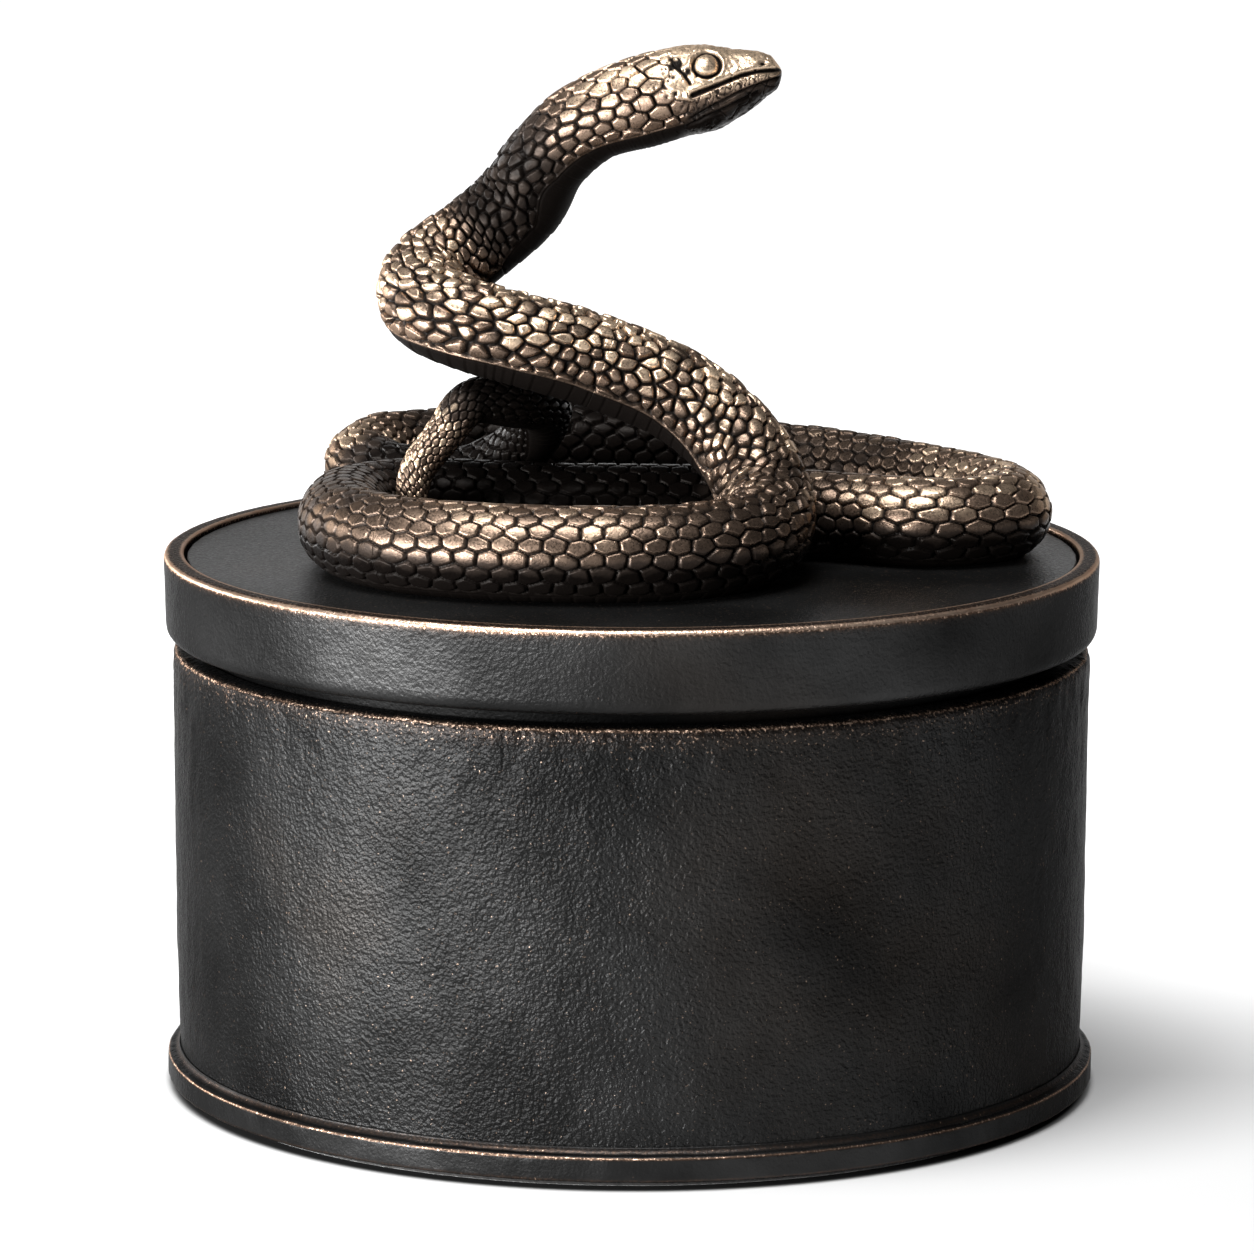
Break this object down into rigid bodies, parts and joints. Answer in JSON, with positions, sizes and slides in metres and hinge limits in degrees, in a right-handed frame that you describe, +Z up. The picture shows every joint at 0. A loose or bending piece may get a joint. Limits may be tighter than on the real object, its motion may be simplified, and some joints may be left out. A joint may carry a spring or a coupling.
{
  "type": "jewellery box",
  "caption": "Round dark bronze trinket box with a loose lift-off lid; a scaled snake coiled on the lid raises its head and serves as the handle.",
  "frame": {"origin": "middle of the face that the box rests on, on the axis of the box", "axes": "+Z up along the axis of the box, -Y towards the front, +X to the right, where the head of the snake points"},
  "size_m": [0.11, 0.11, 0.1222],
  "materials": {
    "dark_bronze": "cast, black-brown patina, copper-coloured where worn",
    "snake_bronze": "cast, dark patina in the grooves, rubbed bright on the scales",
    "brass_screw": "plain turned",
    "lining_cloth": "short velvet pile",
    "foot_felt": "felt"
  },
  "bodies": {
    "box_body": {"body_wall": "dark_bronze", "foot_plate": "dark_bronze", "neck_collar": "dark_bronze", "wall_lining": "lining_cloth", "floor_lining": "lining_cloth", "foot_felt": "foot_felt"},
    "lid": {"lid_rim": "dark_bronze", "lid_plate": "dark_bronze", "lid_lining": "lining_cloth", "snake_tail": "snake_bronze", "snake_back_loop": "snake_bronze", "snake_right_loop": "snake_bronze", "snake_front_coil": "snake_bronze", "snake_raised_body": "snake_bronze", "snake_neck": "snake_bronze", "snake_head": "snake_bronze", "snake_screw_1": "brass_screw", "snake_screw_2": "brass_screw", "snake_screw_3": "brass_screw", "snake_screw_4": "brass_screw"}
  },
  "joints": [
    {"name": "lid_lift", "type": "slide", "parent": "box_body", "child": "lid", "axis": [0, 0, 1], "range_m": [0, 0.08]}
  ]
}
